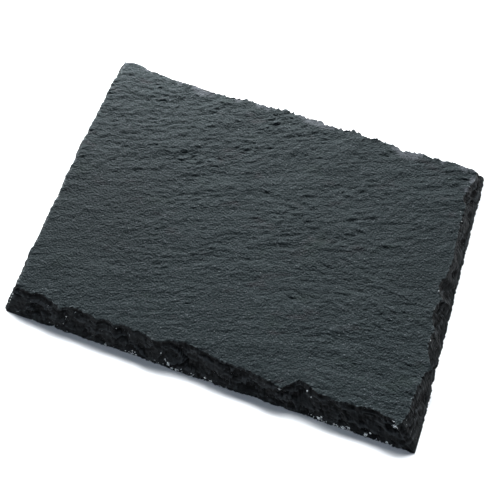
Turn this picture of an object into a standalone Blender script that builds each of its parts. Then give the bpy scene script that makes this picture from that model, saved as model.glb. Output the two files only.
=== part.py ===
"""A hand-dressed slab of riven slate, lying flat.

One solid in metres, +Z up. The flat lower face rests at z = 0 and is the widest outline. +X runs
along the long edges and +Y towards the far long edge. The origin is the middle of the bounding box's base.
"""

import math
import random

import bmesh
import bpy
import numpy as np

# Driving dimensions, in metres.
TOP_LENGTH = 0.200          # upper face along X
TOP_WIDTH = 0.140           # upper face along Y
THICKNESS = 0.010           # at the highest ridge of the upper face
RELIEF = 0.0005             # how far the hollows of the upper face lie below its ridges
STEP = 0.004                # spacing of the mesh columns along the edges
ARRIS_SHARP = math.radians(30)

# How far the base stands out beyond the upper face, at the start and the end of each dressed edge.
# The edges run anticlockwise: front, right, back, left.
BEVEL_RUN = {
    "front": (0.0112, 0.0082),
    "right": (0.0128, 0.0058),
    "back": (0.0036, 0.0036),
    "left": (0.0040, 0.0040),
}

# The ridges that the dressing blows left along the upper edge, in millimetres: how far along the edge,
# how far inside the straight edge (negative is outside it), and how deep the scar after it is hollowed.
RIDGES_MM = {
    "front": ((0, 1.8, 0), (9.5, 0.4, 1.2), (18, 0.6, 0), (23.5, -0.8, 0), (26, -2.2, 0), (28, -0.2, 0.8),
              (37.5, 0.2, 0.9), (45.5, -1.0, 1.7), (54.6, -0.8, 1.6), (64, 0.0, 1.2), (75, -1.1, 0),
              (78, -1.0, 1.4), (94, 3.1, 0), (98, 2.6, 0), (112, 0.8, 1.4), (142.4, -1.8, 0),
              (149, 4.8, 0.5), (156, 3.7, 0), (160, 1.8, 0.8), (169, 1.2, 0.8), (179, 2.2, 1.5),
              (192, 2.6, 0), (197.5, 3.0, 0)),
    "right": ((0, -1.2, 0), (8.5, -3.1, 0.5), (29, -5.0, 0), (32, -7.6, 2.6), (51, -3.3, 2.8),
              (68, -2.5, 2.6), (79, -0.8, 0), (91, -1.6, 0.5), (121, 0.2, 0), (124, 2.6, 0),
              (132, 1.2, 0), (138, -1.0, 0)),
    "back": ((0, -1.2, 0.3), (16, -3.1, 1.2), (31, -2.0, 1.4), (46, -1.9, 0), (55, -2.5, 1.2),
             (67, -3.1, 1.6), (86, -2.2, 1.0), (105, -2.6, 0.8), (129, -0.6, 0.8), (144, 1.0, 1.0),
             (160, 0.8, 0.8), (173, 1.2, 0.5), (195, -1.6, 0)),
    "left": ((0, -0.2, 0.2), (21, -1.7, 0.6), (42, -1.6, 0.3), (55, -1.8, 0.4), (76, -1.5, 0.5),
             (99, -1.2, 0.5), (120, -1.1, 0.6)),
}

# How far each corner is knocked along X and Y, first at the foot and then at the rim. A corner is named
# after the side that starts there, so the near left-hand one is "front".
CORNER_SHIFT = {
    "front": ((0.0006, 0.0006), (0.0011, 0.0011)),
    "right": ((-0.0006, 0.0006), (-0.0003, 0.0003)),
    "back": ((-0.0006, -0.0006), (-0.0003, 0.0020)),
    "left": ((0.0006, -0.0006), (0.0003, 0.0008)),
}
NIBBLE = 0.0002             # how far the lower edge wanders in and out

SIDES = ("front", "right", "back", "left")
INWARD = {"front": (0, 1), "right": (-1, 0), "back": (0, -1), "left": (1, 0)}
COLUMNS = {
    "front": round(TOP_LENGTH / STEP),
    "right": round(TOP_WIDTH / STEP),
    "back": round(TOP_LENGTH / STEP),
    "left": round(TOP_WIDTH / STEP),
}
ROWS = (0.0, 0.3, 0.65, 1.0)      # heights of the rings up the dressed edge, as parts of the thickness
RIDGE_LEAN = 0.004                # the furthest a ridge drifts along the edge on its way down
LEAN_ROOM = 0.45                  # how much of the gap to the nearest ridge it may drift across
SCAR_HOLLOW = 0.45                # how far a scar is dished up and down, as a part of its depth
MM = 0.001


def clear_scene():
    """Start from an empty scene."""
    for item in list(bpy.data.objects):
        bpy.data.objects.remove(item, do_unlink=True)


def top_corners():
    """The corners of the upper face's rectangle, where the front, right, back and left edges start."""
    x, y = TOP_LENGTH / 2, TOP_WIDTH / 2
    return np.array([(-x, -y), (x, -y), (x, y), (-x, y)])


def base_corners():
    """The corners of the base, pushed out from the upper ones by the run of both edges that meet there."""
    corners = top_corners()
    for index, side in enumerate(SIDES):
        outward = -np.array(INWARD[side])
        corners[index] = corners[index] + outward * BEVEL_RUN[side][0]
        corners[(index + 1) % 4] = corners[(index + 1) % 4] + outward * BEVEL_RUN[side][1]
    return corners


def scar_depth(side, along, height, rng_seed):
    """How far inside the straight bevel the dressed edge lies, along one side at one height (0 to 1)."""
    rng = random.Random(rng_seed)
    length = along[-1]
    ridges = [(s * MM, inside * MM, depth * MM) for s, inside, depth in RIDGES_MM[side]]
    places = np.array([ridge[0] for ridge in ridges] + [length])
    insides = np.array([ridge[1] for ridge in ridges] + [0.0])
    gaps = np.diff(places)
    for index, gap in enumerate(np.minimum(gaps[:-1], gaps[1:])):
        places[index + 1] += rng.uniform(-1, 1) * min(RIDGE_LEAN, gap * LEAN_ROOM) * (1 - height)
    depth = np.interp(along, places, insides) * height
    nibbles = np.sin(along * 190 + rng_seed) * np.sin(along * 610 + 2 * rng_seed)
    depth = depth + NIBBLE * (1 + nibbles) * (1 - height)
    for start, end, ridge in zip(places, places[1:], ridges):
        across = np.clip((along - start) / (end - start), 0, 1)
        dish = 4 * across * (1 - across)
        depth = depth + ridge[2] * dish * (height + SCAR_HOLLOW * 4 * height * (1 - height))
    return depth * np.minimum(1, np.minimum(along, length - along) / STEP)


def ring(height):
    """The closed outline at one height, anticlockwise from the front left corner, one list per side."""
    low, high = base_corners(), top_corners()
    corners = low + (high - low) * height
    sides = {}
    for index, side in enumerate(SIDES):
        start, end = corners[index], corners[(index + 1) % 4]
        part = np.linspace(0, 1, COLUMNS[side] + 1)
        along = part * np.linalg.norm(high[(index + 1) % 4] - high[index])
        depth = scar_depth(side, along, height, rng_seed=index + 1)
        line = start + part[:, None] * (end - start)
        sides[side] = line + depth[:, None] * np.array(INWARD[side])
        for place, corner in ((0, side), (-1, SIDES[(index + 1) % 4])):
            foot_shift, rim_shift = np.array(CORNER_SHIFT[corner])
            sides[side][place] += foot_shift + (rim_shift - foot_shift) * height
    return sides


def riven_height(x, y):
    """The height of the cleft upper face: long low swells that run roughly along X."""
    swell = (
        math.sin(70 * x + 1.0) * 0.25
        + math.sin(210 * y + 55 * x) * 0.35
        + math.sin(420 * y - 90 * x + 2.0) * 0.25
        + math.sin(150 * x - 260 * y + 0.7) * 0.15
    )
    return THICKNESS - RELIEF * (0.5 - 0.5 * swell)


def top_grid(sides):
    """Points of the upper face, spread evenly between its four dressed edges."""
    front, right = sides["front"], sides["right"]
    back, left = sides["back"][::-1], sides["left"][::-1]
    across = np.linspace(0, 1, len(front))[:, None, None]
    up = np.linspace(0, 1, len(right))[None, :, None]
    ruled_up = (1 - up) * front[:, None, :] + up * back[:, None, :]
    ruled_across = (1 - across) * left[None, :, :] + across * right[None, :, :]
    corners = (
        (1 - across) * (1 - up) * front[0]
        + across * (1 - up) * front[-1]
        + across * up * back[-1]
        + (1 - across) * up * back[0]
    )
    return ruled_up + ruled_across - corners


def closed_outline(sides):
    """One anticlockwise run of points from the four sides, with each corner given once."""
    return np.concatenate([sides[side][:-1] for side in SIDES])


def slate_material():
    """Dark green-grey slate with a dry, matt face."""
    material = bpy.data.materials.new("riven_slate")
    material.use_nodes = True
    shader = material.node_tree.nodes["Principled BSDF"]
    shader.inputs["Base Color"].default_value = (0.032, 0.041, 0.044, 1.0)
    shader.inputs["Roughness"].default_value = 0.72
    shader.inputs["Metallic"].default_value = 0.0
    return material


def slate_slab():
    """Build the slab: flat base, dressed edges in rings, and the riven upper face."""
    base = closed_outline(ring(0.0))
    middle = (base.min(axis=0) + base.max(axis=0)) / 2
    mesh = bmesh.new()

    top_sides = ring(1.0)
    grid = top_grid(top_sides)
    grid_verts = [
        [mesh.verts.new((x - middle[0], y - middle[1], riven_height(x, y))) for x, y in line]
        for line in grid
    ]
    for line, following in zip(grid_verts, grid_verts[1:]):
        for j in range(len(line) - 1):
            mesh.faces.new((line[j], following[j], following[j + 1], line[j + 1]))

    upper_rim = [line[0] for line in grid_verts[:-1]]
    upper_rim += grid_verts[-1][:-1]
    upper_rim += [line[-1] for line in grid_verts[:0:-1]]
    upper_rim += grid_verts[0][:0:-1]

    lower_rim = None
    for height in ROWS[:-1]:
        outline = closed_outline(ring(height))
        verts = [
            mesh.verts.new((x - middle[0], y - middle[1], height * edge.co.z))
            for (x, y), edge in zip(outline, upper_rim)
        ]
        if lower_rim is None:
            mesh.faces.new(verts[::-1])
        else:
            join_rings(mesh, lower_rim, verts)
        lower_rim = verts
    join_rings(mesh, lower_rim, upper_rim)

    data = bpy.data.meshes.new("slate_slab")
    mesh.to_mesh(data)
    mesh.free()
    data.shade_smooth()
    data.set_sharp_from_angle(angle=ARRIS_SHARP)
    slab = bpy.data.objects.new("slate_slab", data)
    bpy.context.scene.collection.objects.link(slab)
    slab.data.materials.append(slate_material())
    return slab


def join_rings(mesh, lower, upper):
    """Skin the band between two rings that have the same number of points."""
    count = len(lower)
    for i in range(count):
        j = (i + 1) % count
        mesh.faces.new((lower[i], lower[j], upper[j], upper[i]))


clear_scene()
slate_slab()
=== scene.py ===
import itertools
import math
import random

import bpy
import numpy as np
from mathutils import Matrix, Vector


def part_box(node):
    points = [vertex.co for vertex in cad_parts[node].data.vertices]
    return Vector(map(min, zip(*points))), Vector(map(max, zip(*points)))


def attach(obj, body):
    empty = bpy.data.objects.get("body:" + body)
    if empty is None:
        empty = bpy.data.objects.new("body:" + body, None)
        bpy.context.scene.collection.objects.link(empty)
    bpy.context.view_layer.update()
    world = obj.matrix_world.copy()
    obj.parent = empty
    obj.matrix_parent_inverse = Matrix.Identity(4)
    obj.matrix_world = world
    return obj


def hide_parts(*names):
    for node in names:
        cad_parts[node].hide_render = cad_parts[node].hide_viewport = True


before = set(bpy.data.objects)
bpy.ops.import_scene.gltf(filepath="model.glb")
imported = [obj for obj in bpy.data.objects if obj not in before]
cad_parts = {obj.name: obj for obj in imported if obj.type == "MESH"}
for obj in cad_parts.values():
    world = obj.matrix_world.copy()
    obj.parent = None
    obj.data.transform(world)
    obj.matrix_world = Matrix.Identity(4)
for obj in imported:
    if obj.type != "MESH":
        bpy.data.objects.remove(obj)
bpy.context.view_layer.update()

# The slab is one piece of slate, split by hand along its cleavage, which left the rippled upper face and the
# flatter lower one. Its four edges were then dressed with a row of blows, each of which took off a
# shell-shaped flake, so that every edge slopes out from the upper face to the wider base.
MM = 0.001
slab_low, slab_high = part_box("slate_slab")
top_length = 200 * MM
top_width = 140 * MM

# How far the base stands out beyond the upper face at the start and the end of each edge. The sides are
# listed anticlockwise.
sides = ("front", "right", "back", "left")
inward = {"front": (0, 1), "right": (-1, 0), "back": (0, -1), "left": (1, 0)}
bevel_run = {
    "front": (10.7 * MM, 7.7 * MM),
    "right": (12.8 * MM, 5.8 * MM),
    "back": (3.6 * MM, 3.6 * MM),
    "left": (4.0 * MM, 4.0 * MM),
}

# The ridges between the big flakes: how far along the upper edge each one starts, how far it lies inside the
# straight edge (negative is outside it), and how deep the flake after it was hollowed. All in millimetres.
ridges_mm = {
    "front": (
        (0, 1.8, 0), (9.5, 0.4, 1.2), (18, 0.6, 0), (23.5, -0.8, 0), (26, -2.2, 0), (28, -0.2, 0.8),
        (37.5, 0.2, 0.9), (45.5, -1.0, 1.7), (54.6, -0.8, 1.6), (64, 0.0, 1.2), (75, -1.1, 0),
        (78, -1.0, 1.4), (94, 3.1, 0), (98, 2.6, 0), (112, 0.8, 1.4), (142.4, -1.8, 0), (149, 4.8, 0.5),
        (156, 3.7, 0), (160, 1.8, 0.8), (169, 1.2, 0.8), (179, 2.2, 1.5), (192, 2.6, 0), (197.5, 3.0, 0)),
    "right": (
        (0, -1.2, 0), (8.5, -3.1, 0.5), (29, -5.0, 0), (32, -7.6, 2.6), (51, -3.3, 2.8), (68, -2.5, 2.6),
        (79, -0.8, 0), (91, -1.6, 0.5), (121, 0.2, 0), (124, 2.6, 0), (132, 1.2, 0), (138, -1.0, 0)),
    "back": (
        (0, -2.4, 0.3), (16, -3.3, 1.1), (31, -2.4, 1.3), (46, -2.1, 0), (55, -2.6, 1.1), (67, -3.7, 1.7),
        (86, -2.5, 0.9), (105, -3.0, 0.6), (129, -1.4, 0.7), (144, 0.4, 0.7), (160, 0.2, 0.6),
        (173, 0.6, 0.3), (195, -2.1, 0)),
    "left": (
        (0, -0.2, 0.2), (21, -1.7, 0.6), (42, -1.6, 0.3), (55, -1.8, 0.4), (76, -1.5, 0.5), (99, -1.2, 0.5),
        (120, -1.1, 0.6)),
}

# A ridge drifts sideways on its way down, but stays clear of the next one. A flake is hollowed most deeply
# about three quarters of the way up.
ridge_lean = 4 * MM
lean_room = 0.45
scar_hollow = 0.45

# How far each corner is knocked sideways and lengthways, at the foot and at the rim, in millimetres. A corner
# is named after the side that starts there. The near left-hand one is broken off, and the far ones stand out
# at the rim.
corner_shift_mm = {
    "front": ((1.1, 1.1), (1.1, 1.1)),
    "right": ((-0.3, 0.3), (-0.3, 0.3)),
    "back": ((0.1, 0.1), (-0.3, 2.0)),
    "left": ((0.3, -0.3), (0.4, 0.8)),
}
corner_reach = 2.0 * MM

# The mesh: a grid over the upper face, rings of closer points down the edges, and a coarser grid beneath.
cells = {"front": 200, "right": 240, "back": 200, "left": 240}
finer_edge = {"front": 3, "right": 2, "back": 2, "left": 2}
coarser_sole = {"front": 4, "right": 5, "back": 4, "left": 5}
ring_rows = 23
columns = {side: cells[side] * finer_edge[side] for side in sides}


def rock_noise(points, seed):
    """Smooth gradient noise, about -1 to 1, with features one unit across."""
    size = 256
    rng = np.random.default_rng(seed)
    order = rng.permutation(size)
    slopes = rng.normal(size=(size, 3))
    slopes /= np.linalg.norm(slopes, axis=1)[:, None]
    cell = np.floor(points).astype(int)
    inside = points - cell
    ease = inside ** 3 * (inside * (inside * 6 - 15) + 10)
    total = np.zeros(points.shape[:-1])
    for corner in itertools.product((0, 1), repeat=3):
        at = (cell + corner) % size
        pick = order[(order[(order[at[..., 0]] + at[..., 1]) % size] + at[..., 2]) % size]
        reach = ((inside - corner) * slopes[pick]).sum(-1)
        total += reach * np.prod(np.where(corner, ease, 1 - ease), axis=-1)
    return total * 1.5


def corner_points():
    """Corners of the base and of the upper face, where the front, right, back and left edges start."""
    x, y = top_length / 2, top_width / 2
    high = np.array([(-x, -y), (x, -y), (x, y), (-x, y)])
    low = high.copy()
    for index, side in enumerate(sides):
        outward = -np.array(inward[side])
        low[index] = low[index] + outward * bevel_run[side][0]
        low[(index + 1) % 4] = low[(index + 1) % 4] + outward * bevel_run[side][1]
    return low, high


def flaked_depth(side, along, height, seed):
    """How far the row of big flakes lies inside the straight bevel, at one height from 0 to 1."""
    rng = random.Random(seed)
    ridges = [(place * MM, inside * MM, depth * MM) for place, inside, depth in ridges_mm[side]]
    places = np.array([ridge[0] for ridge in ridges] + [along[-1]])
    gaps = np.diff(places)
    for index, room in enumerate(np.minimum(gaps[:-1], gaps[1:])):
        places[index + 1] += rng.uniform(-1, 1) * min(ridge_lean, room * lean_room) * (1 - height)
    insides = np.array([ridge[1] for ridge in ridges] + [0.0])
    depth = np.interp(along, places, insides) * height
    for start, end, ridge in zip(places, places[1:], ridges):
        part = np.clip((along - start) / (end - start), 0, 1)
        depth += ridge[2] * 4 * part * (1 - part) * (height + scar_hollow * 4 * height * (1 - height))
    to_corner = np.minimum(along, along[-1] - along)
    return depth * np.minimum(1, to_corner / corner_reach)


# The edge rings, from the base (row 0) to the upper rim (last row). Rows crowd a little towards both arrises.
row_crowding = 0.04
low_corners, high_corners = corner_points()
row_part = np.linspace(0, 1, ring_rows + 1)
row_height = row_part - row_crowding * np.sin(2 * math.pi * row_part)
ring_xy = []
for height in row_height:
    corners = low_corners + (high_corners - low_corners) * height
    outline = []
    for index, side in enumerate(sides):
        start, end = corners[index], corners[(index + 1) % 4]
        part = np.linspace(0, 1, columns[side] + 1)[:-1]
        length = np.linalg.norm(high_corners[(index + 1) % 4] - high_corners[index])
        along = np.append(part * length, length)
        depth = flaked_depth(side, along, height, index + 1)[:-1]
        line = start + part[:, None] * (end - start) + depth[:, None] * np.array(inward[side])
        near_start = np.clip(1 - along[:-1] / corner_reach, 0, 1)[:, None]
        near_end = np.clip(1 - (length - along[:-1]) / corner_reach, 0, 1)[:, None]
        for corner, nearness in ((side, near_start), (sides[(index + 1) % 4], near_end)):
            at_foot, at_rim = np.array(corner_shift_mm[corner]) * MM
            line += nearness * (at_foot + (at_rim - at_foot) * height)
        outline.append(line)
    ring_xy.append(np.concatenate(outline))
ring_xy = np.array(ring_xy)

# The outline's middle goes to the middle of the box of the solid that this slab stands for.
box_low, box_high = np.array(slab_low)[:2], np.array(slab_high)[:2]
ring_xy += (box_low + box_high - ring_xy[0].min(axis=0) - ring_xy[0].max(axis=0)) / 2

# Inward direction of the edge at each column, turning smoothly round the corners, and the distances round the
# slab and up the slope.
corner_turn_columns = 25
column_count = ring_xy.shape[1]
side_inward = np.concatenate([np.tile(inward[side], (columns[side], 1)) for side in sides]).astype(float)
corner_columns = dict(zip(sides, np.cumsum([0] + [columns[side] for side in sides[:-1]])))
turn = np.hanning(corner_turn_columns)
turn /= turn.sum()
half = corner_turn_columns // 2
wrapped = np.concatenate([side_inward[-half:], side_inward, side_inward[:half]])
column_inward = np.stack([np.convolve(wrapped[:, k], turn, "valid") for k in range(2)], axis=1)
column_inward /= np.linalg.norm(column_inward, axis=1)[:, None]
full_height = slab_high.z - slab_low.z
rim_step = np.linalg.norm(np.roll(ring_xy[-1], -1, axis=0) - ring_xy[-1], axis=1)
around = np.cumsum(rim_step) - rim_step
lap = rim_step.sum()
slope_length = np.hypot(full_height, np.linalg.norm(ring_xy[-1] - ring_xy[0], axis=1))
ring = np.zeros((ring_rows + 1, column_count, 3))
ring[..., :2] = ring_xy
ring[..., 2] = row_height[:, None] * full_height


def column_at(side, along_mm):
    """The column of points that starts this far along the upper edge of a side."""
    length = top_length if side in ("front", "back") else top_width
    return corner_columns[side] + min(int(along_mm * MM / length * columns[side]), columns[side] - 1)


# Smaller flakes come off between and across the big ones. Each leaves a shallow shell-shaped dent, and two
# dents that overlap meet in a sharp ridge and go no deeper than either.
small_flakes = 260
small_flake_mm = (2.2, 6.0)
small_flake_dish = (0.08, 0.15)
dent = np.zeros((ring_rows + 1, column_count))


def strike(place, height, half_width, depth, stretch=1.0, lean=0.0, tilt=0.0):
    """Take a flake off the edge, centred at a place round the slab and a height from 0 to 1."""
    climb = (row_height[:, None] - height) * slope_length[None, :]
    across = (around[None, :] - place + lap / 2) % lap - lap / 2 + lean * climb
    reach = (across / half_width) ** 2 + (climb / (half_width * stretch)) ** 2
    np.maximum(dent, depth * (1 - reach + tilt * climb / half_width * (reach < 2)), out=dent)


blows = random.Random(11)
for _ in range(small_flakes):
    half_width = blows.uniform(*small_flake_mm) * MM
    strike(blows.uniform(0, lap), blows.uniform(0.0, 0.9), half_width,
           half_width * blows.uniform(*small_flake_dish), blows.uniform(0.9, 1.8),
           blows.uniform(-0.5, 0.5), blows.uniform(-0.3, 0.3))

# The right-hand side has a row of deeper ones, each about as high as the slab is thick: how far along it
# lies, its height from 0 to 1, and its half-width and depth in millimetres.
deep_flakes_mm = (
    (21, 0.45, 4.5, 1.1), (38, 0.40, 3.6, 1.0), (56, 0.50, 3.6, 1.2), (73, 0.45, 3.6, 1.0),
    (85, 0.45, 4.0, 1.2), (101, 0.50, 4.2, 1.2), (117, 0.45, 4.0, 1.2), (130, 0.50, 3.4, 1.2),
)
for along, height, half_width, depth in deep_flakes_mm:
    strike(around[column_at("right", along)], height, half_width * MM, depth * MM, stretch=1.1, lean=0.3)

# Thin chips then split off along the cleavage. A chip runs out to nothing on one side and ends in a little
# step on the other, and its outline is ragged.
small_chips = 650
small_chip_mm = (0.8, 3.0)
small_chip_dish = (0.10, 0.26)
ragged = 1 + 0.8 * rock_noise(ring / (2.2 * MM), 25) + 0.5 * rock_noise(ring / (1.0 * MM), 26)
chipped = np.zeros((ring_rows + 1, column_count))


def chip(place, height, half_width, depth, stretch=1.0, turned=90.0):
    """Split a chip off the edge, with its step on the side that it is turned to: 0 is along, 90 is up."""
    climb = (row_height[:, None] - height) * slope_length[None, :]
    across = (around[None, :] - place + lap / 2) % lap - lap / 2
    cos_turn, sin_turn = math.cos(math.radians(turned)), math.sin(math.radians(turned))
    towards = (across * cos_turn + climb * sin_turn) / half_width
    beside = (climb * cos_turn - across * sin_turn) / (half_width * stretch)
    inside = towards ** 2 + beside ** 2 < ragged
    chipped[inside] += depth * (0.5 + 0.5 * towards[inside])


for _ in range(small_chips):
    half_width = blows.uniform(*small_chip_mm) * MM
    chip(blows.uniform(0, lap), blows.uniform(-0.05, 0.97), half_width,
         half_width * blows.uniform(*small_chip_dish), blows.uniform(1.0, 2.6),
         blows.choice((90, 90, -90)) + blows.uniform(-50, 50))

# The marks that stand out: a half-round leaf left standing by the middle of the front, a deep nick at its
# notch, thin sheets that overhang along the rim, a splinter on the back, and split leaves at the near
# left-hand corner. Each is given by its side, how far along it lies, its height from 0 to 1, its half-width
# and depth in millimetres (a negative depth stands out), its stretch and its turn.
marked_chips = (
    ("front", 84, 0.50, 6.5, -0.9, 0.75, -15), ("front", 98, 0.50, 6.0, 0.6, 0.8, 190),
    ("front", 143.5, 0.80, 3.2, 0.9, 1.0, 120), ("front", 101, 0.88, 1.6, 0.3, 1.6, 90),
    ("front", 113, 0.88, 1.8, 0.7, 3.0, 90), ("front", 50, 0.86, 1.6, 0.7, 2.6, 90),
    ("front", 59, 0.50, 3.0, 0.6, 1.6, 60), ("front", 187, 0.72, 1.5, 0.6, 2.0, 90),
    ("front", 194, 0.60, 2.4, 0.8, 1.6, 100), ("front", 3, 0.90, 0.9, 0.5, 4.0, 90),
    ("front", 3, 0.72, 0.8, 0.4, 4.0, 90), ("front", 150, 0.78, 1.8, 0.6, 2.0, 90),
    ("left", 138.8, 0.66, 1.0, 0.8, 1.0, 90), ("left", 138.5, 0.42, 0.8, 0.6, 1.0, -90),
    ("back", 69.5, 0.98, 0.5, -1.7, 0.8, 90), ("back", 178, 0.95, 1.4, 0.9, 1.4, 90),
    ("back", 170.5, 0.95, 1.2, 0.8, 1.4, 90), ("back", 186, 0.95, 1.6, 0.8, 1.2, 90),
    ("back", 161, 0.95, 1.2, 0.7, 1.4, 90), ("back", 12, 0.95, 1.3, 0.8, 1.2, 90),
    ("right", 34, 0.70, 2.4, 0.8, 1.4, 150), ("right", 60, 0.80, 2.0, 0.7, 1.3, 160),
    ("right", 75, 0.82, 2.0, 0.8, 1.3, 160), ("right", 124, 0.75, 2.4, 0.8, 1.0, 160),
)
for side, along, height, half_width, depth, stretch, turned in marked_chips:
    chip(around[column_at(side, along)], height, half_width * MM, depth * MM, stretch, turned)

# Thin cracks have opened where leaves were left half split off. Each follows a path of places, given by how
# far along the side they lie and how high, and has its own half-width and depth, all in millimetres.
marked_cracks = (
    ("front", ((85, 0.85), (89.5, 0.62), (92.8, 0.41)), 0.45, 0.6),
    ("front", ((92.8, 0.44), (90.5, 0.27), (86.7, 0.15), (82, 0.06)), 0.65, 1.1),
    ("front", ((46, 0.85), (49, 0.80), (54, 0.84)), 0.5, 0.9),
    ("front", ((98, 0.88), (104, 0.85), (107, 0.8)), 0.5, 0.8),
    ("front", ((57, 0.33), (58.5, 0.45), (62, 0.50), (67, 0.42)), 0.5, 0.7),
    ("front", ((110, 0.90), (118, 0.88)), 0.5, 0.8),
    ("front", ((140, 0.52), (141.5, 0.66), (144, 0.74)), 0.8, 1.4),
    ("front", ((182, 0.70), (190, 0.72)), 0.5, 0.8),
    ("front", ((0, 0.90), (7, 0.87)), 0.45, 0.6),
    ("front", ((0, 0.74), (6, 0.75)), 0.45, 0.5),
    ("front", ((28, 0.62), (31, 0.35), (30, 0.15)), 0.5, 0.7),
    ("right", ((31, 0.92), (34, 0.70), (40, 0.62)), 0.6, 1.0),
    ("right", ((47, 0.90), (50, 0.66), (57, 0.60)), 0.6, 0.9),
    ("right", ((66, 0.90), (68, 0.70), (73, 0.62)), 0.6, 0.9),
    ("right", ((120, 0.95), (123, 0.70), (128, 0.60)), 0.6, 1.0),
)
small_cracks = 150
small_crack_reach_mm = 4.5
cracked = np.zeros((ring_rows + 1, column_count))


def crack(start, end, half_width, depth):
    """Open a straight crack between two places, each given round the slab and by its height from 0 to 1."""
    run = (end[0] - start[0] + lap / 2) % lap - lap / 2
    length = np.array((run, (end[1] - start[1]) * slope_length.mean()))
    across = (around[None, :] - start[0] + lap / 2) % lap - lap / 2
    climb = (row_height[:, None] - start[1]) * slope_length[None, :]
    part = np.clip((across * length[0] + climb * length[1]) / (length @ length), 0, 1)
    away = np.hypot(across - part * length[0], climb - part * length[1])
    np.maximum(cracked, depth * (1 - away / half_width), out=cracked)


for side, path, half_width, depth in marked_cracks:
    stops = [(around[column_at(side, along)], height) for along, height in path]
    for start, end in zip(stops, stops[1:]):
        crack(start, end, half_width * MM, depth * MM)
for _ in range(small_cracks):
    start = (blows.uniform(0, lap), blows.uniform(0.05, 0.9))
    reach = blows.uniform(-small_crack_reach_mm, small_crack_reach_mm) * MM
    end = (start[0] + reach, start[1] + blows.uniform(-0.16, 0.16))
    crack(start, end, blows.uniform(0.4, 0.55) * MM, blows.uniform(0.25, 0.7) * MM)


def by_column(side_values):
    """One number for each column of ring points, from one number for each side."""
    return np.concatenate([np.full(columns[side], side_values[side]) for side in sides])


# The broken stone is rough, and shows the cleavage as fine ledges, which come and go along the edge. All of
# it is less marked at the foot, and least at the rim.
ledge_rise = 1.25 * MM
ledge_depth = 0.40
roughness = by_column({"front": 1.0, "right": 0.85, "back": 0.8, "left": 0.8})
rough = 0.20 * rock_noise(ring / (2.4 * MM), 21) + 0.08 * rock_noise(ring / (1.1 * MM), 22)
ledge_noise = rock_noise(ring / (np.array((9, 9, 30)) * MM), 23)
ledge_phase = ring[..., 2] / ledge_rise + 1.4 * rock_noise(ring / (np.array((16, 16, 4)) * MM), 24)
ledge = (ledge_phase % 1.0 - 0.5) * ledge_depth * np.clip(ledge_noise * 2 + 0.5, 0, 1)
off_arris = np.interp(row_height, (0, 0.2, 0.8, 1), (0.6, 1, 1, 0.3))[:, None]

# The rim and the foot are nibbled: each layer of nibbles has a depth, a length and a height in millimetres,
# and a seed. Each side has heights from 0 to 1, and how strongly it is nibbled at each. The back and the left
# are nibbled more deeply, and over more of their height.
nibbles_mm = ((0.55, 3.6, 14, 27), (0.60, 1.7, 10, 28), (0.35, 0.9, 3, 29))
nibbled_at = {
    "front": ((0, 0.15, 0.8, 1), (1.2, 0, 0, 1.2)),
    "right": ((0, 0.15, 0.8, 1), (1.2, 0, 0, 1.2)),
    "back": ((0, 0.15, 0.45, 0.7, 1), (1.2, 0, 0, 0.9, 1.2)),
    "left": ((0, 0.3, 0.5, 0.75, 1), (1.2, 0.9, 0.1, 0.1, 1.2)),
}
nibble_depth = by_column({"front": 0.9, "right": 0.9, "back": 2.3, "left": 1.9})
nibble = np.zeros(ledge.shape)
for depth, length, tall, seed in nibbles_mm:
    nibble += depth * np.abs(rock_noise(ring / (np.array((length, length, tall)) * MM), seed))
nibbled = np.concatenate([np.tile(np.interp(row_height, *nibbled_at[side])[:, None], columns[side])
                          for side in sides], axis=1)
bitten = nibble * nibble_depth * nibbled * MM

# Here and there the topmost sheet overhangs, and the stone below it has broken back.
overhang = by_column({"front": 0.9, "right": 0.4, "back": 0.3, "left": 0.3})
overhang_patch = np.clip(0.3 + 2 * rock_noise(ring / (np.array((9, 9, 40)) * MM), 30), 0, 1)
under_rim = np.interp(row_height, (0.80, 0.91, 0.985, 1), (0, 1, 0.5, 0))[:, None]

# All of it is carved inwards, less its mean at each height, so that the edge keeps to the line of the big
# flakes. The nibbles of the back and the left count for less in the shading of the crevices.
nibble_shading = by_column({"front": 1.0, "right": 1.0, "back": 0.3, "left": 0.3})
carved = (dent + (chipped + cracked) * roughness) * off_arris + overhang * MM * overhang_patch * under_rim
carved += (rough + ledge * roughness * off_arris) * roughness * MM
shaded = carved + bitten * nibble_shading
carved += bitten
carved -= carved.mean(axis=1)[:, None]
inward_3d = np.zeros((column_count, 3))
inward_3d[:, :2] = column_inward
ring += carved[..., None] * inward_3d
ring[..., :2] = np.clip(ring[..., :2], box_low, box_high)


def spread_out(values, times):
    """Smooth numbers held at the ring points, round the slab and up the slope."""
    for _ in range(times):
        values = (np.roll(values, 1, axis=1) + 2 * values + np.roll(values, -1, axis=1)) / 4
        padded = np.concatenate([values[:1], values, values[-1:]])
        values = (padded[:-2] + 2 * values + padded[2:]) / 4
    return values


# How far each point lies in a crevice (towards 1) or stands proud on a broken edge (towards 0).
# The struck stone paints shade into the crevices from this, and a pale highlight on the proud edges.
crevice_depth = 0.35 * MM
crevice_contrast = by_column({"front": 1.0, "right": 1.0, "back": 0.6, "left": 0.6})
sunk = np.clip((shaded - spread_out(shaded, 10)) / crevice_depth, -1, 1)
crevice_shade = 0.5 + 0.5 * crevice_contrast * sunk


def grid_between(border_loop, n, m):
    """Points spread evenly between four edges, given as one anticlockwise loop from the first corner."""
    front, right = border_loop[:n + 1], border_loop[n:n + m + 1]
    back = border_loop[n + m:2 * n + m + 1][::-1]
    left = np.concatenate([border_loop[2 * n + m:], border_loop[:1]])[::-1]
    s = np.linspace(0, 1, n + 1)[:, None, None]
    t = np.linspace(0, 1, m + 1)[None, :, None]
    return ((1 - t) * front[:, None] + t * back[:, None] + (1 - s) * left[None] + s * right[None]
            - (1 - s) * (1 - t) * front[0] - s * (1 - t) * front[-1]
            - s * t * back[-1] - (1 - s) * t * back[0])


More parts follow.
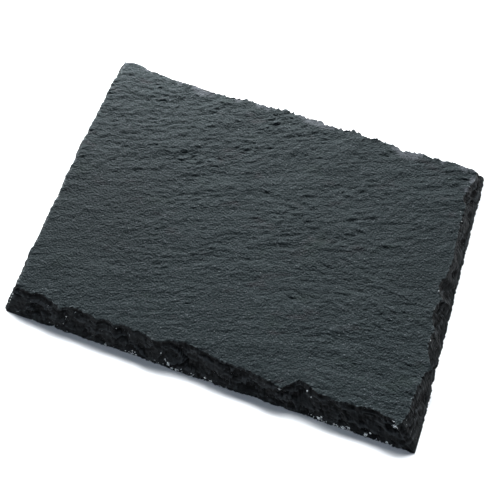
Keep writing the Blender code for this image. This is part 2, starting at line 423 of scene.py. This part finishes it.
def layered(x, y, layers):
    """The sum of layers of level noise, each with its height, its lengths in millimetres and its seed."""
    total = 0.0
    for height, lengths_mm, seed in layers:
        place = np.stack([x / (lengths_mm[0] * MM), y / (lengths_mm[1] * MM), 0 * x], axis=-1)
        total = total + height * rock_noise(place, seed)
    return total


def eased(value):
    """Bring a number to between 0 and 1, with a soft start and end."""
    part = np.clip(value, 0, 1)
    return part ** 2 * (3 - 2 * part)


# The upper face is riven: long low swells, then lens-shaped ripples that run slantwise across the slab. The
# grain wanders, runs up to the right, and turns level towards the near right-hand corner. The ripples lean
# over, so that their near sides are the steeper ones, and break into thin sheets. Each layer has its height
# and its lengths across and up the slab in millimetres, and its seed.
grain_slope = 0.42
grain_curl = 0.0022 / MM
grain_curl_reach = 40 * MM
grain_wander = ((1.0, (24, 12), 31), (0.35, (9, 5), 32))
swells = ((0.20, (60, 34), 33), (0.25, (20, 7.0), 34))
ripples = ((0.13, (12.0, 2.9), 35), (0.30, (5.0, 1.7), 36), (0.22, (2.3, 1.05), 37))
ripple_patches = ((0.5, (26, 15), 38),)
ripple_lean = 1.6
sheet_thickness = 0.17
sheet_edge = 0.30
sheet_share = 0.25

# The relief is calmest at the near left, livelier away from there, and strongest by the far left-hand corner,
# with one quiet patch towards the far right-hand one.
calm_strength = 0.95
lively_gain = 0.48
far_left_gain = 0.30
quiet_loss = 0.28
quiet_place = (80 * MM, 32 * MM)
quiet_radius = 30 * MM

# The near edge sags in two places: where along it, how far to either side, and how deep in millimetres.
sags = ((28 * MM, 15 * MM, 1.1), (-52 * MM, 38 * MM, 0.35))
sag_reach = 14 * MM


def terraced(height, sheet):
    """Turn a smooth height into flat sheets of one thickness with short steep edges between them."""
    count = np.floor(height / sheet)
    part = np.clip((height / sheet - count - 0.5) / sheet_edge + 0.5, 0, 1)
    return (count + part) * sheet


def riven_relief(x, y):
    """Height of the cleft surface above its mean, in metres, from long swells down to ripples."""
    curl = grain_curl * np.maximum(x, 0) ** 2 * np.clip(1 - y / grain_curl_reach, 0, 1)
    v = y - grain_slope * x + curl
    v = v + layered(x, v, grain_wander) * MM
    patch = 1 + layered(x, v, ripple_patches)
    lean = 0.0
    for _ in range(2):
        rippled = layered(x, v + lean * MM, ripples)
        lean = ripple_lean * rippled
    smooth = layered(x, v, swells) + rippled * patch
    strength = calm_strength + lively_gain * eased((y + 0.5 * x + 52 * MM) / (60 * MM))
    strength += far_left_gain * eased((y - 0.5 * x - 30 * MM) / (40 * MM))
    from_quiet = (x - quiet_place[0]) ** 2 + (y - quiet_place[1]) ** 2
    strength -= quiet_loss * np.exp(-from_quiet / quiet_radius ** 2)
    sag = sum(depth * np.exp(-((x - place) / reach) ** 2) for place, reach, depth in sags)
    sag *= np.exp(-np.maximum(y + top_width / 2, 0) / sag_reach)
    split = (1 - sheet_share) * smooth + sheet_share * terraced(smooth, sheet_thickness)
    return (strength * split - sag) * MM


# The grid of the upper face hangs from the rim, whose arris is a little crumbled. At a corner it starts
# inwards of both edges.
upper_inset = 0.5 * MM
rim_crumble = ((0.20, (1.5, 1.5), 42),)
rim = ring[-1, :, :2]
for side in sides:
    side_inward[corner_columns[side]] += side_inward[corner_columns[side] - 1]
upper_columns = np.concatenate([corner_columns[side] + np.arange(0, columns[side], finer_edge[side])
                                for side in sides])
upper = np.zeros((cells["front"] + 1, cells["right"] + 1, 3))
upper_border = (rim + upper_inset * side_inward)[upper_columns]
upper[..., :2] = grid_between(upper_border, cells["front"], cells["right"])
crumbled = (0.06 + layered(rim[:, 0], rim[:, 1], rim_crumble)).clip(0) * MM
rim_height = riven_relief(rim[:, 0], rim[:, 1]) - crumbled
upper[..., 2] = riven_relief(upper[..., 0], upper[..., 1])
highest = max(rim_height.max(), upper[..., 2].max())
upper[..., 2] += slab_high.z - highest
ring[..., 2] = slab_low.z + row_height[:, None] * (rim_height + slab_high.z - highest - slab_low.z)

# The underside is cleft too, but flatter, and the slab rests on the spots that stand out most. Its relief is
# that of another stretch of the same stone.
sole_inset = 1.5 * MM
sole_stretch = (3, 2)
sole_flatness = 0.7
resting_percent = 12
sole_cells = {side: cells[side] // coarser_sole[side] for side in sides}
sole_columns = np.concatenate([
    corner_columns[side] + np.arange(sole_cells[side]) * columns[side] // sole_cells[side]
    for side in sides])
sole = np.zeros((sole_cells["front"] + 1, sole_cells["right"] + 1, 3))
sole_border = (ring[0, :, :2] + sole_inset * side_inward)[sole_columns]
sole[..., :2] = grid_between(sole_border, sole_cells["front"], sole_cells["right"])
sole_relief = riven_relief(sole_stretch[0] - sole[..., 0], sole_stretch[1] + sole[..., 1])
resting = np.percentile(sole_relief, resting_percent)
sole[..., 2] = slab_low.z + np.maximum(sole_relief - resting, 0) * sole_flatness


def skin(grid_index, flip=False):
    """Quads over a rectangular array of point numbers."""
    a, b = grid_index[:-1, :-1], grid_index[1:, :-1]
    c, d = grid_index[1:, 1:], grid_index[:-1, 1:]
    quads = np.stack([a, d, c, b] if flip else [a, b, c, d], axis=-1)
    return quads.reshape(-1, 4).tolist()


def border(grid_index):
    """Point numbers round a rectangular array, anticlockwise from its first corner."""
    return np.concatenate([grid_index[:-1, 0], grid_index[-1, :-1],
                           grid_index[:0:-1, -1], grid_index[0, :0:-1]])


def stitch(ring_row, inner, starts, flip=False):
    """Triangles between a ring row and an inner loop, whose points stand opposite the given ring columns."""
    faces = []
    for k, start in enumerate(starts):
        here, after = int(inner[k]), int(inner[(k + 1) % len(inner)])
        end = int(starts[(k + 1) % len(starts)]) or len(ring_row)
        fan = [int(ring_row[column % len(ring_row)]) for column in range(start, end + 1)]
        middle = len(fan) // 2
        for step in range(len(fan) - 1):
            faces.append([fan[step], fan[step + 1], here if step < middle else after])
        faces.append([fan[middle], after, here])
    return [face[::-1] for face in faces] if flip else faces


# The rings, the upper grid and the sole join into one closed skin.
ring_index = np.arange((ring_rows + 1) * column_count).reshape(ring_rows + 1, column_count)
upper_start = ring_index.size
upper_index = upper_start + np.arange(upper[..., 0].size).reshape(upper.shape[:2])
sole_start = upper_start + upper_index.size
sole_index = sole_start + np.arange(sole[..., 0].size).reshape(sole.shape[:2])
closed_ring = np.concatenate([ring_index, ring_index[:, :1]], axis=1)
cleft_faces = (skin(upper_index) + stitch(ring_index[-1], border(upper_index), upper_columns)
               + skin(sole_index, flip=True)
               + stitch(ring_index[0], border(sole_index), sole_columns, flip=True))
struck_faces = skin(closed_ring, flip=True)

points = np.concatenate([ring.reshape(-1, 3), upper.reshape(-1, 3), sole.reshape(-1, 3)])
mesh = bpy.data.meshes.new("riven_slab")
mesh.from_pydata(points.tolist(), [], cleft_faces + struck_faces)
mesh.polygons.foreach_set("material_index", [0] * len(cleft_faces) + [1] * len(struck_faces))


def paint(name, values):
    """Store one number for each point of the slab, for the material to read."""
    mesh.attributes.new(name, "FLOAT", "POINT").data.foreach_set("value", values.astype(np.float32))


# The dressing left powder along the arris, most of it on the back and the left, and down the near left-hand
# corner. The same pale marking also paints a highlight where these rims catch the light. It fades downwards
# from the rim and inwards over the upper face.
powder_and_highlight_by_side = {"front": 0.25, "right": 0.5, "back": 1.5, "left": 1.7}
powder_and_highlight_down = 0.5 * MM
powder_and_highlight_inwards = 0.8 * MM
corner_powder_and_highlight = 1.6
corner_powder_and_highlight_reach = 0.7 * MM
ring_powder_and_highlight = by_column(powder_and_highlight_by_side) * np.exp(-(ring[-1, :, 2] - ring[..., 2]) / powder_and_highlight_down)
to_near_left = np.minimum(around, lap - around)
ring_powder_and_highlight = np.maximum(ring_powder_and_highlight, corner_powder_and_highlight * np.exp(-to_near_left / corner_powder_and_highlight_reach))
steps_across = np.arange(cells["front"] + 1)[:, None] * top_length / cells["front"]
steps_up = np.arange(cells["right"] + 1)[None, :] * top_width / cells["right"]
from_side = {
    "front": steps_up,
    "right": top_length - steps_across,
    "back": top_width - steps_up,
    "left": steps_across,
}
upper_powder_and_highlight = np.zeros(upper.shape[:2])
for side in sides:
    side_powder_and_highlight = powder_and_highlight_by_side[side] * np.exp(-(from_side[side] + upper_inset) / powder_and_highlight_inwards)
    upper_powder_and_highlight = np.maximum(upper_powder_and_highlight, side_powder_and_highlight)
# Pale powder along the arris, which also paints a highlight where the rim catches the light.
arris_powder_and_highlight = np.zeros(len(points))
arris_powder_and_highlight[ring_index.ravel()] = ring_powder_and_highlight.ravel()
arris_powder_and_highlight[upper_index.ravel()] = upper_powder_and_highlight.ravel()
paint("arris_powder_and_highlight", arris_powder_and_highlight)
# The struck stone paints shade in the crevices and a highlight on the proud edges from this number.
crevice_shade_at_points = np.full(len(points), 0.5)
crevice_shade_at_points[ring_index.ravel()] = crevice_shade.ravel()
paint("crevice_shade", crevice_shade_at_points)

# Where a blow crushed the stone it is whitish: each place is given by how far along the side it lies, its
# height from 0 to 1 and its half-width in millimetres.
crushed_mm = {
    "front": (
        (7.2, 0.19, 0.4), (20, 0.76, 0.3), (30, 0.55, 0.35), (30, 0.42, 0.35), (30, 0.28, 0.35),
        (33.9, 0.81, 0.3), (45.6, 0.29, 0.4), (52, 0.03, 0.6), (56, 0.81, 0.4), (63.3, 0.76, 0.35),
        (65.6, 0.03, 0.7), (77, 0.15, 0.4), (80, 0.55, 0.4), (81.7, 0.29, 0.6), (83, 0.12, 0.9),
        (87, 0.04, 0.7), (85, 0.04, 0.8), (104, 0.05, 0.8), (140, 0.76, 0.9), (153, 0.78, 0.75),
        (155, 0.70, 0.5), (156, 0.08, 0.9), (158, 0.16, 0.6), (167, 0.03, 1.2), (170, 0.10, 0.5),
        (178, 0.06, 1.1), (180, 0.14, 0.6), (187, 0.03, 0.7), (194.6, 0.70, 0.9), (196.2, 0.71, 1.2),
        (197.6, 0.71, 1.2), (197, 0.92, 0.6), (0.1, 0.28, 0.5), (0.1, 0.40, 0.5), (0.1, 0.52, 0.4),
        (0.1, 0.66, 0.5)),
    "right": (
        (46, 0.95, 0.55), (62, 0.98, 0.45), (72, 0.98, 0.4), (112, 0.97, 0.45), (132, 0.98, 0.4),
        (136, 0.98, 0.4)),
}

# Glancing blows only bruised it, which left wider pale grey patches, most of them on the far rim. These
# patches are partly a painted highlight, where the small chips along that rim catch the light from behind.
bruised_and_highlit_mm = {
    "right": ((130, 1, 1.6), (136, 1, 2.4)),
    "back": (
        (2, 1, 1.6), (7, 1, 2.4), (18, 1, 1.3), (31, 1, 2.6), (35, 1, 3.6), (39, 1, 3.8), (43, 1, 2.8),
        (75, 1, 1.2), (80, 1, 2.2), (84, 1, 2.8), (88, 1, 3.2), (92, 1, 3.0), (96, 1, 2.2), (116, 1, 1.8),
        (120, 1, 2.2), (133, 1, 1.6), (149, 1, 2.8), (153, 1, 3.0), (157, 1, 2.2), (166, 1, 1.7),
        (186, 1, 1.2), (198, 1, 1.4)),
    "left": ((3, 1, 0.9), (64, 1, 0.6), (93, 1, 0.6)),
}

# Crushed dust has gathered at the foot of the front, in loose heaps.
dust_spots = 70
dust_heaps_mm = (28, 62, 84, 104, 160, 172, 184)
dust_spread_mm = 7
dust = random.Random(5)
for _ in range(dust_spots):
    along = dust.choice(dust_heaps_mm) + dust.gauss(0, dust_spread_mm)
    crushed_mm["front"] += ((min(max(along, 1), 198), dust.uniform(0, 0.10), dust.uniform(0.25, 0.5)),)
for name, places_mm in (("crushed", crushed_mm), ("bruised_and_highlit", bruised_and_highlit_mm)):
    marked = np.zeros(len(points))
    for side, places in places_mm.items():
        for along, height, half_width in places:
            centre = ring[int(np.abs(row_height - height).argmin()), column_at(side, along)]
            away = np.linalg.norm(points - centre, axis=1) / (half_width * MM)
            marked = np.maximum(marked, np.clip(1.5 - away, 0, 1))
    paint(name, marked)

# The fresh breaks and the arris round the upper face stay crisp.
crisp_angle = math.radians(40)
mesh.update()
mesh.shade_smooth()
mesh.set_sharp_from_angle(angle=crisp_angle)
edge_ends = np.zeros(len(mesh.edges) * 2, dtype=np.int32)
mesh.edges.foreach_get("vertices", edge_ends)
on_rim = (edge_ends // column_count == ring_rows).reshape(-1, 2).all(axis=1)
sharp = np.zeros(len(mesh.edges), dtype=bool)
mesh.attributes["sharp_edge"].data.foreach_get("value", sharp)
mesh.attributes["sharp_edge"].data.foreach_set("value", sharp | on_rim)
slab = bpy.data.objects.new("riven_slab", mesh)
bpy.context.scene.collection.objects.link(slab)


# Slate is a fine grey-green mudstone, hardened and pressed into leaves. The cleft face is matt with a faint
# silky sheen, clouded with purple-brown and green, and pricked with tiny pale grains. Where it was struck it
# is darker and rougher, with pale crushed powder along the arris and the foot; the pale arris also carries a
# painted highlight.
class Stone:
    """One slate material, with short calls that add its nodes."""

    def __init__(self, name):
        self.material = bpy.data.materials.new(name)
        self.material.use_nodes = True
        self.tree = self.material.node_tree
        self.shader = self.tree.nodes["Principled BSDF"]
        self.place = self.tree.nodes.new("ShaderNodeTexCoord").outputs["Object"]

    def link(self, value, socket):
        """Feed a socket from another node, or set it to a fixed number or colour."""
        if isinstance(value, bpy.types.NodeSocket):
            self.tree.links.new(value, socket)
        else:
            socket.default_value = value

    def stretched(self, angle, lengths_mm, centre_mm=(0, 0, 0)):
        """Coordinates that count one unit for each of these lengths, turned with the grain."""
        node = self.tree.nodes.new("ShaderNodeMapping")
        node.vector_type = "TEXTURE"
        node.inputs["Location"].default_value = [place * MM for place in centre_mm]
        node.inputs["Rotation"].default_value = (0, 0, math.radians(angle))
        node.inputs["Scale"].default_value = [length * MM for length in lengths_mm]
        self.link(self.place, node.inputs["Vector"])
        return node.outputs["Vector"]

    def noise(self, vector, detail=2.0, roughness=0.5, distortion=0.0):
        """Cloudy noise, from 0 to 1."""
        node = self.tree.nodes.new("ShaderNodeTexNoise")
        node.inputs["Scale"].default_value = 1.0
        node.inputs["Detail"].default_value = detail
        node.inputs["Roughness"].default_value = roughness
        node.inputs["Distortion"].default_value = distortion
        self.link(vector, node.inputs["Vector"])
        return node.outputs["Fac"]

    def ramp(self, value, low, high, to_low=0.0, to_high=1.0):
        """Bring a number from one range to another, with a soft start and end."""
        node = self.tree.nodes.new("ShaderNodeMapRange")
        node.interpolation_type = "SMOOTHSTEP"
        limits = (("From Min", low), ("From Max", high), ("To Min", to_low), ("To Max", to_high))
        for name, number in limits:
            node.inputs[name].default_value = number
        self.link(value, node.inputs["Value"])
        return node.outputs["Result"]

    def maths(self, operation, a, b=0.0, c=0.0):
        """Work out one number from up to three."""
        node = self.tree.nodes.new("ShaderNodeMath")
        node.operation = operation
        for value, socket in zip((a, b, c), node.inputs):
            self.link(value, socket)
        return node.outputs["Value"]

    def blend(self, amount, a, b, kind="MIX"):
        """Lay colour b over colour a."""
        node = self.tree.nodes.new("ShaderNodeMix")
        node.data_type = "RGBA"
        node.blend_type = kind
        self.link(amount, node.inputs["Factor"])
        colour_inputs = [socket for socket in node.inputs if socket.type == "RGBA"]
        self.link(a, colour_inputs[0])
        self.link(b, colour_inputs[1])
        return [socket for socket in node.outputs if socket.type == "RGBA"][0]

    def mottle(self, amount, colour, pattern, contrast):
        """Darken and lighten a colour with a pattern, between two greys this far apart."""
        dark, light = 0.5 - contrast / 2, 0.5 + contrast / 2
        greys = self.blend(pattern, (dark, dark, dark, 1), (light, light, light, 1))
        return self.blend(amount, colour, greys, "OVERLAY")

    def painted_number(self, name):
        """A number that the slab's points carry."""
        node = self.tree.nodes.new("ShaderNodeAttribute")
        node.attribute_name = name
        return node.outputs["Fac"]

    def ragged_patch(self, name, noise):
        """A painted patch with its edge broken up: about 1.5 outside it and 2.5 in its middle."""
        return self.maths("MULTIPLY_ADD", noise, 3.0, self.painted_number(name))

    def bump(self, height, depth_mm):
        """A surface direction that follows a fine height."""
        node = self.tree.nodes.new("ShaderNodeBump")
        node.inputs["Strength"].default_value = 1.0
        node.inputs["Distance"].default_value = depth_mm * MM
        self.link(height, node.inputs["Height"])
        return node.outputs["Normal"]


# The cleft face: two greys in clouds, then purple and green tints, fine grain, small and bright flecks, and
# two broad darker patches, a wide faint one on the right and one on the left.
cleft_dark = (0.0088, 0.0120, 0.0130, 1)
cleft_light = (0.0114, 0.0152, 0.0162, 1)
purple_tint = (0.0142, 0.0131, 0.0146, 1)
green_tint = (0.0095, 0.0145, 0.0121, 1)
small_fleck = (0.050, 0.058, 0.060, 1)
bright_fleck = (0.20, 0.22, 0.22, 1)
dark_patch_colour = (0.004, 0.0048, 0.0052, 1)
dark_patches = (((66, 4, 0), (80, 46, 80), 0.22), ((-84, -12, 0), (66, 60, 80), 0.38))
cleft = Stone("cleft_slate")
cloud = cleft.noise(cleft.stretched(15, (40, 26, 40)), detail=4)
colour = cleft.blend(cleft.ramp(cloud, 0.35, 0.65), cleft_dark, cleft_light)
purple = cleft.noise(cleft.stretched(15, (16, 7, 16)), detail=3, distortion=0.4)
colour = cleft.blend(cleft.ramp(purple, 0.60, 0.74, 0, 0.7), colour, purple_tint)
green = cleft.noise(cleft.stretched(20, (21, 12, 50)), detail=3)
colour = cleft.blend(cleft.ramp(green, 0.60, 0.75, 0, 0.5), colour, green_tint)
grain = cleft.noise(cleft.stretched(20, (1.3, 0.8, 1.0)), detail=3, roughness=0.6)
colour = cleft.mottle(0.55, colour, grain, 0.5)
fleck = cleft.noise(cleft.stretched(15, (0.9, 0.6, 0.6)), detail=1)
colour = cleft.blend(cleft.ramp(fleck, 0.63, 0.76, 0, 0.40), colour, small_fleck)
colour = cleft.blend(cleft.ramp(fleck, 0.76, 0.80, 0, 0.8), colour, bright_fleck)
for centre_mm, lengths_mm, darkening in dark_patches:
    dark_patch = cleft.tree.nodes.new("ShaderNodeTexGradient")
    dark_patch.gradient_type = "SPHERICAL"
    cleft.link(cleft.stretched(10, lengths_mm, centre_mm), dark_patch.inputs["Vector"])
    colour = cleft.blend(cleft.ramp(dark_patch.outputs["Fac"], 0.0, 0.8, 0, darkening), colour, dark_patch_colour)

# Its rim is powdered, and bruised and crushed in places. The powder and the bruises also paint a highlight
# where the rim catches the light.
cleft_powder_and_highlight = (0.11, 0.125, 0.13, 1)
cleft_bruise_and_highlight = (0.060, 0.063, 0.070, 1)
cleft_crushed = (0.20, 0.23, 0.24, 1)
powder_and_highlight_noise = cleft.noise(cleft.stretched(0, (1.3, 1.3, 1.3)), detail=3, roughness=0.6)
powder_and_highlight_patch = cleft.ramp(powder_and_highlight_noise, 0.42, 0.66, 0, 0.6)
# Pale powder along the arris, partly a painted highlight.
rim_powder_and_highlight = cleft.maths("MULTIPLY", cleft.painted_number("arris_powder_and_highlight"), powder_and_highlight_patch)
colour = cleft.blend(rim_powder_and_highlight, colour, cleft_powder_and_highlight)
broken = cleft.noise(cleft.stretched(30, (0.9, 0.5, 0.6)), detail=3, roughness=0.6)
# Pale bruises, partly a painted highlight where the far rim catches the light.
bruise_and_highlight = cleft.ramp(cleft.ragged_patch("bruised_and_highlit", broken), 1.65, 2.15, 0, 0.9)
colour = cleft.blend(bruise_and_highlight, colour, cleft_bruise_and_highlight)
crush = cleft.ramp(cleft.ragged_patch("crushed", broken), 2.2, 2.5, 0, 0.7)
colour = cleft.blend(crush, colour, cleft_crushed)
cleft.link(colour, cleft.shader.inputs["Base Color"])
cleft.link(cleft.ramp(grain, 0.3, 0.7, 0.52, 0.64), cleft.shader.inputs["Roughness"])
cleft.shader.inputs["Specular IOR Level"].default_value = 0.10
cleft.shader.inputs["Specular Tint"].default_value = (0.80, 0.97, 1.0, 1)
fine = cleft.noise(cleft.stretched(22, (1.0, 0.95, 1.0)), detail=3, roughness=0.5)
cleft.link(cleft.bump(fine, 0.68), cleft.shader.inputs["Normal"])

# The struck stone: darker, banded by its leaves, with painted shade that goes black in the crevices, and
# paler on the edges that stand proud, where pale wear and a painted highlight lie together. Its rim is
# powdered too, and bruised and crushed in places; the powder and the bruises also paint a highlight.
struck_dark = (0.0048, 0.0055, 0.0058, 1)
struck_light = (0.0117, 0.0131, 0.0137, 1)
painted_crevice_shade = (0.0010, 0.0010, 0.0012, 1)
proud_edge_wear_and_highlight = (0.036, 0.040, 0.043, 1)
struck_powder_and_highlight = (0.12, 0.135, 0.14, 1)
struck_bruise_and_highlight = (0.050, 0.053, 0.058, 1)
struck_crushed = (0.90, 0.93, 0.93, 1)
struck = Stone("struck_slate")
shade = struck.noise(struck.stretched(0, (7, 7, 3)), detail=4)
colour = struck.blend(struck.ramp(shade, 0.3, 0.7), struck_dark, struck_light)
leaves = struck.noise(struck.stretched(0, (5, 5, 0.35)), detail=2)
colour = struck.mottle(0.35, colour, leaves, 0.4)
sunken_shade = struck.painted_number("crevice_shade")
# Painted shade: the crevices are darkened to near black.
colour = struck.blend(struck.ramp(sunken_shade, 0.48, 0.72), colour, painted_crevice_shade)
# Painted highlight together with pale wear on the edges that stand proud.
colour = struck.blend(struck.ramp(sunken_shade, 0.42, 0.10, 0, 0.75), colour, proud_edge_wear_and_highlight)
powder_and_highlight_noise = struck.noise(struck.stretched(0, (1.0, 1.0, 0.8)), detail=3, roughness=0.6)
powder_and_highlight_patch = struck.ramp(powder_and_highlight_noise, 0.50, 0.68, 0, 0.5)
# Pale powder along the arris, partly a painted highlight.
rim_powder_and_highlight = struck.maths("MULTIPLY", struck.painted_number("arris_powder_and_highlight"), powder_and_highlight_patch)
colour = struck.blend(rim_powder_and_highlight, colour, struck_powder_and_highlight)
broken = struck.noise(struck.stretched(30, (0.55, 0.40, 0.40)), detail=2, roughness=0.6)
# Pale bruises, partly a painted highlight where the far rim catches the light.
bruise_and_highlight = struck.ramp(struck.ragged_patch("bruised_and_highlit", broken), 1.8, 2.5, 0, 0.7)
colour = struck.blend(bruise_and_highlight, colour, struck_bruise_and_highlight)
crush = struck.ramp(struck.ragged_patch("crushed", broken), 2.24, 2.40)
colour = struck.blend(crush, colour, struck_crushed)
struck.link(colour, struck.shader.inputs["Base Color"])
struck.link(struck.ramp(shade, 0.3, 0.7, 0.50, 0.66), struck.shader.inputs["Roughness"])
struck.shader.inputs["Specular IOR Level"].default_value = 0.09
grit = struck.noise(struck.stretched(0, (1.4, 1.4, 0.7)), detail=2)
struck.link(struck.bump(grit, 0.30), struck.shader.inputs["Normal"])

slab.data.materials.append(cleft.material)
slab.data.materials.append(struck.material)
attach(slab, "root")
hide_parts("slate_slab")

# The ground is a plain pale sheet just under the slab, which only lies on it. It is far wider than the slab,
# so that it reaches the horizon from any side.
ground_half = 20.0
ground_gap = 0.02 * MM
ground_corners = [(-ground_half, -ground_half, 0), (ground_half, -ground_half, 0),
                  (ground_half, ground_half, 0), (-ground_half, ground_half, 0)]
ground_mesh = bpy.data.meshes.new("ground")
ground_mesh.from_pydata(ground_corners, [], [(0, 1, 2, 3)])
ground = bpy.data.objects.new("ground", ground_mesh)
ground.location.z = slab_low.z - ground_gap
bpy.context.scene.collection.objects.link(ground)
paper = bpy.data.materials.new("pale_ground")
paper.use_nodes = True
paper_shader = paper.node_tree.nodes["Principled BSDF"]
paper_shader.inputs["Base Color"].default_value = (0.95, 0.95, 0.95, 1)
paper_shader.inputs["Roughness"].default_value = 0.9
paper_shader.inputs["Specular IOR Level"].default_value = 0.1
ground_mesh.materials.append(paper)


def hang(name, kind, towards):
    """Hang up a lamp of one kind, whose light comes from the given direction."""
    lamp = bpy.data.objects.new(name, bpy.data.lights.new(name, kind))
    lamp.rotation_euler = towards.to_track_quat("Z", "Y").to_euler()
    bpy.context.scene.collection.objects.link(lamp)
    return lamp


# A long window that runs level with the far edge gives the main light, low enough to rake the ripples and to
# leave the near and right-hand edges in shade. It is as long as a wall, so that the shadow's edge is even.
light_slope = math.tan(math.radians(30.7))
window_strength = 12.5
pane_turns = (-10, 4, 17, 30, 43, 56)
for turn in pane_turns:
    towards_light = Vector((-math.tan(math.radians(turn)), 1, light_slope))
    pane = hang("window_pane", "SUN", towards_light).data
    pane.energy = window_strength / len(pane_turns)
    pane.angle = math.radians(8)
    pane.color = (0.97, 1.0, 1.02)

# A long low lamp behind the far edge, towards the left, gives that side its sheen.
sheen_place = Vector((-0.085, 0.102, 0.036))
sheen_target = Vector((-0.06, 0.04, 0))
sheen_lamp = hang("sheen", "AREA", sheen_place - sheen_target)
sheen_lamp.location = sheen_place
sheen_lamp.visible_camera = False
sheen_lamp.data.shape = "RECTANGLE"
sheen_lamp.data.size = 0.24
sheen_lamp.data.size_y = 0.03
sheen_lamp.data.energy = 0.175

# A faint low light from the near left keeps the near edge from going black.
fill = hang("fill", "SUN", Vector((-0.45, -0.9, 0.14))).data
fill.energy = 1.1
fill.angle = math.radians(30)
fill.color = (0.92, 1.0, 1.10)

# The sky is pale low down, and dark bluish grey above.
low_sky = (0.78, 0.82, 0.86, 1)
high_sky = (0.070, 0.088, 0.115, 1)
world = bpy.data.worlds.new("sky")
bpy.context.scene.world = world
world.use_nodes = True
sky = world.node_tree
ray = sky.nodes.new("ShaderNodeTexCoord")
ray_parts = sky.nodes.new("ShaderNodeSeparateXYZ")
sky.links.new(ray.outputs["Generated"], ray_parts.inputs["Vector"])
fade = sky.nodes.new("ShaderNodeMapRange")
fade.inputs["From Min"].default_value = 0.05
fade.inputs["From Max"].default_value = 0.30
sky.links.new(ray_parts.outputs["Z"], fade.inputs["Value"])
tint = sky.nodes.new("ShaderNodeMix")
tint.data_type = "RGBA"
sky_colours = [socket for socket in tint.inputs if socket.type == "RGBA"]
sky_colours[0].default_value = low_sky
sky_colours[1].default_value = high_sky
sky.links.new(fade.outputs["Result"], tint.inputs["Factor"])
tinted = [socket for socket in tint.outputs if socket.type == "RGBA"][0]
sky.links.new(tinted, sky.nodes["Background"].inputs["Color"])
bpy.context.scene.view_settings.view_transform = "Standard"

# The camera looks steeply down over the near right-hand corner.
camera_place = Vector((60.78, -162.35, 441.06)) * MM
camera_target = Vector((-0.34, -7.28, 10.0)) * MM
camera_roll = math.radians(-1.3)
camera_data = bpy.data.cameras.new("camera")
camera_data.sensor_width = 36
camera_data.lens = 65.6
camera_data.clip_start = 0.01
camera = bpy.data.objects.new("camera", camera_data)
level = (camera_target - camera_place).to_track_quat("-Z", "Y").to_matrix().to_4x4()
camera.matrix_world = Matrix.Translation(camera_place) @ level @ Matrix.Rotation(camera_roll, 4, "Z")
bpy.context.scene.collection.objects.link(camera)
bpy.context.scene.camera = camera
